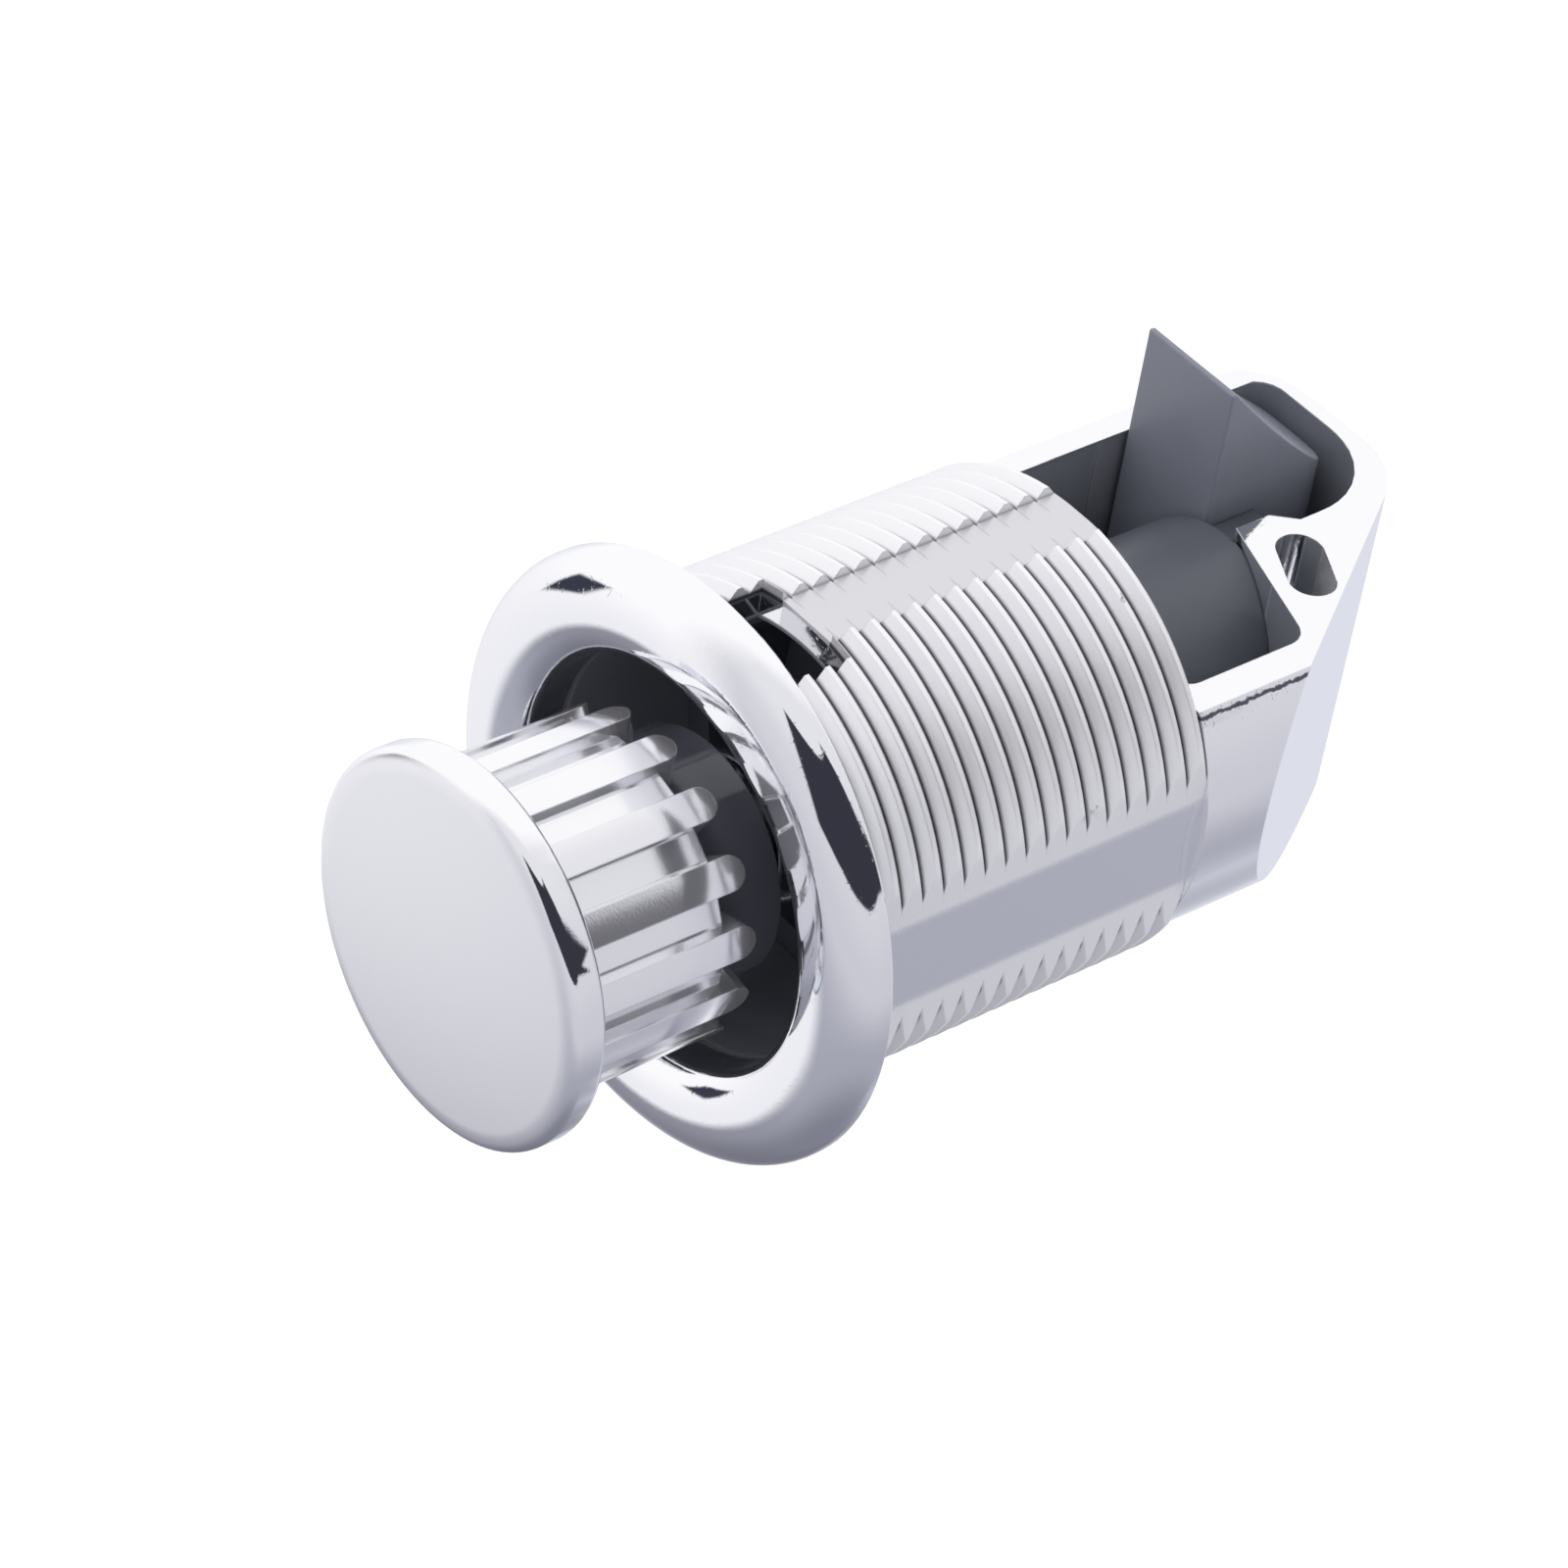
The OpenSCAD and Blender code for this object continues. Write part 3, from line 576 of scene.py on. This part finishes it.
# Dark dull zinc on the neck: thin plating, and painted shade inside the barrel.
RIM_MM = (-14.28, -12.5)
FACE_FADE_MM = (0.06, 0.10)
BUTTON_ROUND_MM = 0.10
BUTTON_WAVE_SHARE = 0.5
FACE_GRAIN_MM = 0.12
FACE_GRAIN_DEPTH_MM = 0.0012


def chrome_button():
    name = "bright chrome with a satin face"
    material, tree, shader, place = start_finish(name)
    radius, distance = distance_from_axis(tree, place)
    full, gone = (NECK_RADIUS_MM + fade for fade in NECK_RADIUS_FADE_MM)
    inner = add(tree, RANGE, [radius, full, gone, 1.0, 0.0], 0, **SOFT)
    before, after = NECK_START_FADE_MM
    behind = add(tree, RANGE, [distance, NECK_START_MM - before, NECK_START_MM + after], 0, **SOFT)
    neck = add(tree, MATHS, [inner, behind], 0, operation="MULTIPLY")
    # Painted shade: the neck inside the barrel is painted a dark dull zinc, which also stands for
    # its thin plating.
    colour = add(
        tree, MIX, {0: neck, 6: linear(CHROME), 7: linear(NECK_ZINC_AND_SHADE)}, 2, data_type="RGBA"
    )
    tree.links.new(colour, shader.inputs["Base Color"])
    front, rear = RIM_MM
    ahead, aft = front - FACE_FADE_MM[0], front + FACE_FADE_MM[1]
    face = add(tree, RANGE, [distance, ahead, aft, FACE_ROUGHNESS, CHROME_ROUGHNESS], 0, **SOFT)
    stem = add(tree, RANGE, [distance, rear, rear + BORDER_MM, 0, STEM_ROUGHNESS], 0, **SOFT)
    mirror = add(tree, RANGE, [distance, rear, rear + BORDER_MM, 1, STEM_MIRROR], 0, **SOFT)
    plated = add(tree, MATHS, [1.0, neck], 0, operation="SUBTRACT")
    mirror = add(tree, MATHS, [mirror, plated], 0, operation="MULTIPLY")
    tree.links.new(mirror, shader.inputs["Metallic"])
    rough = add(tree, MATHS, [face, stem], 0, operation="MAXIMUM")
    tree.links.new(rough, shader.inputs["Roughness"])
    grain = add(tree, NOISE, {"Vector": place, "Scale": 1 / FACE_GRAIN_MM, "Detail": 2.0}, "Fac")
    waves = add(tree, NOISE, {"Vector": place, "Scale": 1 / WAVE_MM, "Detail": 1.0}, "Fac")
    normal = add(tree, BEVEL, {"Radius": BUTTON_ROUND_MM * MM}, "Normal", samples=4)
    normal = add(
        tree,
        BUMP,
        {"Height": waves, "Distance": WAVE_DEPTH_MM * BUTTON_WAVE_SHARE * MM, "Normal": normal},
        "Normal",
    )
    normal = add(
        tree,
        BUMP,
        {"Height": grain, "Distance": FACE_GRAIN_DEPTH_MM * MM, "Normal": normal},
        "Normal",
    )
    tree.links.new(normal, shader.inputs["Normal"])
    return material


# %% [markdown]
# The bolt and the carriage are moulded nylon, filled with glass fibre and dyed through.
# The filling leaves the skin satin rather than shiny, with a fine orange-peel grain and
# slightly paler, polished edges where the parts rub. The bolt's nylon is painted lighter
# than the carriage's: painted light on the bolt.

# %% Dark moulded nylon
# Painted light: the bolt's nylon is a lighter copy of the carriage's.
NYLON_BOLT_PAINTED_LIGHTER = "#7F828F"
NYLON_CARRIAGE = "#545761"
NYLON_ROUGHNESS = 0.34
NYLON_ROUGHNESS_SPREAD = 0.18
NYLON_CLOUD_MM = 3.0
NYLON_CLOUD_SHARE = 0.35
NYLON_PALER = (1.35, 0.01)
NYLON_ROUND_MM = 0.15
RUBBED_POINTINESS = (0.52, 0.60)
NYLON_GRAIN_MM = 0.35
NYLON_GRAIN_DEPTH_MM = 0.006


def moulded_nylon(name, colour, rub):
    material, tree, shader, place = start_finish(name, IOR=1.53)
    cloud = add(tree, NOISE, {"Vector": place, "Scale": 1 / NYLON_CLOUD_MM, "Detail": 3.0}, "Fac")
    base = linear(colour)
    gain, lift = NYLON_PALER
    paler = [min(1.0, c * gain + lift) for c in base[:3]] + [1.0]
    edges = add(tree, "ShaderNodeNewGeometry", out="Pointiness")
    rubbed = add(tree, RANGE, [edges, *RUBBED_POINTINESS, 0.0, rub], 0, **SOFT)
    share = add(tree, MATHS, [cloud, NYLON_CLOUD_SHARE, rubbed], 0, operation="MULTIPLY_ADD")
    shown = add(tree, MIX, {0: share, 6: base, 7: paler}, 2, data_type="RGBA")
    tree.links.new(shown, shader.inputs["Base Color"])
    rough = add(
        tree, MATHS, [cloud, NYLON_ROUGHNESS_SPREAD, NYLON_ROUGHNESS], 0, operation="MULTIPLY_ADD"
    )
    tree.links.new(rough, shader.inputs["Roughness"])
    grain = add(tree, NOISE, {"Vector": place, "Scale": 1 / NYLON_GRAIN_MM, "Detail": 2.0}, "Fac")
    normal = add(tree, BEVEL, {"Radius": NYLON_ROUND_MM * MM}, "Normal", samples=4)
    normal = add(
        tree,
        BUMP,
        {"Height": grain, "Distance": NYLON_GRAIN_DEPTH_MM * MM, "Normal": normal},
        "Normal",
    )
    tree.links.new(normal, shader.inputs["Normal"])
    return material


# %% [markdown]
# Inside are plain working parts. The springs and the follower are drawn wire, with fine
# lines along the wire that show as a dull gleam. The shaft, nut and pin are turned steel
# with a thin zinc plating. The cam slider is acetal, a slippery off-white plastic.

# %% Steel and acetal
SPRING_WIRE = "#B4B6BC"
PLATED_STEEL = "#C3C4C8"
DRAWN_STRETCH = (1.0, 4.0, 1.0)
STEEL_ROUGHNESS_SPREAD = 0.20
ACETAL = "#DAD8D0"
ACETAL_SHADE = "#C9C6BC"
ACETAL_ROUGHNESS = 0.28
ACETAL_ROUGHNESS_SPREAD = 0.14
ACETAL_CLOUD_MM = 1.5
ACETAL_GRAIN_DEPTH_MM = 0.004
ACETAL_ROUND_MM = 0.08


def steel(name, colour, roughness, lines_mm, depth_mm):
    material, tree, shader, place = start_finish(name, Base_Color=linear(colour), Metallic=1.0)
    stretched = add(tree, VECTOR, [place, DRAWN_STRETCH], "Vector", operation="MULTIPLY")
    lines = add(tree, NOISE, {"Vector": stretched, "Scale": 1 / lines_mm, "Detail": 2.0}, "Fac")
    rough = add(
        tree, MATHS, [lines, STEEL_ROUGHNESS_SPREAD, roughness], 0, operation="MULTIPLY_ADD"
    )
    tree.links.new(rough, shader.inputs["Roughness"])
    normal = add(tree, BUMP, {"Height": lines, "Distance": depth_mm * MM}, "Normal")
    tree.links.new(normal, shader.inputs["Normal"])
    return material


def acetal():
    material, tree, shader, place = start_finish("moulded acetal", IOR=1.48)
    cloud = add(tree, NOISE, {"Vector": place, "Scale": 1 / ACETAL_CLOUD_MM, "Detail": 2.0}, "Fac")
    colour = add(
        tree, MIX, {0: cloud, 6: linear(ACETAL), 7: linear(ACETAL_SHADE)}, 2, data_type="RGBA"
    )
    tree.links.new(colour, shader.inputs["Base Color"])
    rough = add(
        tree,
        MATHS,
        [cloud, ACETAL_ROUGHNESS_SPREAD, ACETAL_ROUGHNESS],
        0,
        operation="MULTIPLY_ADD",
    )
    tree.links.new(rough, shader.inputs["Roughness"])
    normal = add(tree, BEVEL, {"Radius": ACETAL_ROUND_MM * MM}, "Normal", samples=4)
    normal = add(
        tree,
        BUMP,
        {"Height": cloud, "Distance": ACETAL_GRAIN_DEPTH_MM * MM, "Normal": normal},
        "Normal",
    )
    tree.links.new(normal, shader.inputs["Normal"])
    return material


print("four finishes are ready: chrome, nylon, steel and acetal")

# %% [markdown]
# A solid comes as triangles whose shading still shows each strip of a curve. Bright chrome
# gives such bands away at once. So the pieces that the camera sees are copied: points that
# lie together are joined, faces that meet at less than 30 degrees are shaded as one
# surface, and a modifier lets the large flat faces keep the shading of their neighbours
# level. The outline stays the solid's own. Only the bolt's corners are rounded as well,
# because a moulded wedge has no sharp edges.

# %% Smooth copies of the pieces that show
SHARP_DEGREES = 30
WELD_MM = 0.001
BOLT_EDGE_MM = 0.4
BOLT_EDGE_STEPS = 4
BOLT_FOOT_MM = 0.5
FLAT_DEGREES = 1
PIN_HOLE_MM = (35.8, 3.2)
PIN_HOLE_KEEP_MM = 1.3


def weld(shape):
    bmesh.ops.remove_doubles(shape, verts=shape.verts, dist=WELD_MM * MM)


def is_sharp(edge):
    return edge.calc_face_angle(pi) >= radians(SHARP_DEGREES)


def round_bolt(shape):
    """Rounds the wedge's outer edges, and leaves its foot and its pin hole as they are."""
    flat = radians(FLAT_DEGREES)
    bmesh.ops.dissolve_limit(shape, angle_limit=flat, verts=shape.verts, edges=shape.edges)
    foot = min(v.co.z for v in shape.verts) + BOLT_FOOT_MM * MM
    hole_y, hole_z = (v * MM for v in PIN_HOLE_MM)
    outer = []
    for edge in shape.edges:
        middle = (edge.verts[0].co + edge.verts[1].co) / 2
        at_hole = Vector((middle.y - hole_y, middle.z - hole_z)).length < PIN_HOLE_KEEP_MM * MM
        above_foot = max(v.co.z for v in edge.verts) > foot and middle.z > foot
        if is_sharp(edge) and above_foot and not at_hole and edge.is_convex:
            outer.append(edge)
    how = {"offset_type": "OFFSET", "affect": "EDGES", "profile": 0.5, "clamp_overlap": True}
    how["segments"] = BOLT_EDGE_STEPS
    bmesh.ops.bevel(shape, geom=outer, offset=BOLT_EDGE_MM * MM, **how)
    print("rounded", len(outer), "edges of the bolt")


def smooth_copy(node_name, name, reshape=None):
    shape = bmesh.new()
    shape.from_mesh(nodes[node_name].data)
    weld(shape)
    if reshape:
        reshape(shape)
    for face in shape.faces:
        face.smooth = True
    for edge in shape.edges:
        edge.smooth = not is_sharp(edge)
    mesh = bpy.data.meshes.new(name)
    shape.to_mesh(mesh)
    shape.free()
    if "custom_normal" in mesh.attributes:
        mesh.attributes.remove(mesh.attributes["custom_normal"])
    piece = bpy.data.objects.new(name, mesh)
    bpy.context.scene.collection.objects.link(piece)
    level = piece.modifiers.new("level flats", "WEIGHTED_NORMAL")
    level.keep_sharp = True
    stand_for(piece, node_name)
    return piece


def stand_for(piece, node_name):
    """The piece takes the place of a solid, on the solid's body."""
    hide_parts(node_name)
    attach(piece, body_of[node_name])
    print(piece.name, "has", len(piece.data.polygons), "faces")


casting = smooth_copy("housing", "plated_housing")
knob = smooth_copy("button", "plated_button")
guide = smooth_copy("carriage", "nylon_carriage")
wedge = smooth_copy("bolt", "nylon_bolt", round_bolt)

# %% [markdown]
# The two springs have to shorten, or they would stand out through the parts that press on
# them. Each is wound here from round wire, to the box of the solid that it stands for. Its
# ring of wire is swept along a helix, and it then flattens towards its fixed end as the
# joint moves, by just as much as the joint's travel.

# %% Springs wound from round wire
WIRE_SIDES = 12
STEPS_PER_TURN = 40
ALONG_Y, ALONG_Z = 1, 2


def wound_spring(node_name, name, axis, turns, wire_mm):
    """A coil along one axis, in the box of the solid that it stands for."""
    low, high = (Vector(corner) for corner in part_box(node_name))
    across = [k for k in range(3) if k != axis]
    wire = wire_mm * MM
    middle = (low + high) / 2
    coil_radius = (high[across[0]] - low[across[0]]) / 2 - wire
    length = high[axis] - low[axis]
    steps = turns * STEPS_PER_TURN
    points, faces = [], []
    for i in range(steps + 1):
        turn = tau * i / STEPS_PER_TURN
        rise = low[axis] + wire + (length - 2 * wire) * i / steps
        for k in range(WIRE_SIDES):
            round_wire = tau * k / WIRE_SIDES
            reach = coil_radius + wire * cos(round_wire)
            point = Vector(middle)
            point[across[0]] += reach * cos(turn)
            point[across[1]] += reach * sin(turn)
            point[axis] = rise + wire * sin(round_wire)
            points.append(point)
    for i in range(steps):
        for k in range(WIRE_SIDES):
            a, b = i * WIRE_SIDES + k, i * WIRE_SIDES + (k + 1) % WIRE_SIDES
            faces.append((a, b, b + WIRE_SIDES, a + WIRE_SIDES))
    faces.append(tuple(range(WIRE_SIDES)))
    faces.append(tuple(range(len(points) - WIRE_SIDES, len(points))))
    mesh = bpy.data.meshes.new(name)
    mesh.from_pydata(points, [], faces)
    shape = bmesh.new()
    shape.from_mesh(mesh)
    bmesh.ops.recalc_face_normals(shape, faces=shape.faces)
    shape.to_mesh(mesh)
    shape.free()
    mesh.shade_smooth()
    piece = bpy.data.objects.new(name, mesh)
    bpy.context.scene.collection.objects.link(piece)
    stand_for(piece, node_name)
    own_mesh(piece)
    return piece


push_spring = wound_spring(
    "button_spring",
    "wire_button_spring",
    axis=ALONG_Y,
    turns=9,
    wire_mm=0.30,
)
lift_spring = wound_spring(
    "bolt_spring",
    "wire_bolt_spring",
    axis=ALONG_Z,
    turns=6,
    wire_mm=0.25,
)

# %% [markdown]
# Each piece now gets its finish, the copies and the solids alike. A solid's own shape
# isn't touched: only its material slot is filled.

# %% Finishes on the pieces


def dress(pieces, material):
    for piece in pieces:
        piece.data.materials.clear()
        piece.data.materials.append(material)
    print(material.name, "on", ", ".join(piece.name for piece in pieces))


black_nylon = moulded_nylon("black moulded nylon", NYLON_CARRIAGE, 0.25)
dress([casting], chrome_casting())
dress([knob], chrome_button())
# Painted light: the bolt gets a lighter copy of the same nylon.
dress([wedge], moulded_nylon("dark moulded nylon, painted lighter on the bolt", NYLON_BOLT_PAINTED_LIGHTER, 0.5))
dress([guide, nodes["spring_seat"]], black_nylon)
turned = [nodes[name] for name in ("button_shaft", "shaft_nut", "bolt_pin")]
plated = steel("zinc-plated steel", PLATED_STEEL, roughness=0.14, lines_mm=0.2, depth_mm=0.002)
dress(turned, plated)
drawn = [push_spring, lift_spring, nodes["cam_follower"]]
wire = steel("drawn spring wire", SPRING_WIRE, roughness=0.20, lines_mm=0.12, depth_mm=0.002)
dress(drawn, wire)
dress([nodes["cam_slider"]], acetal())

# %% Closing
bpy.context.scene.view_settings.view_transform = "Standard"
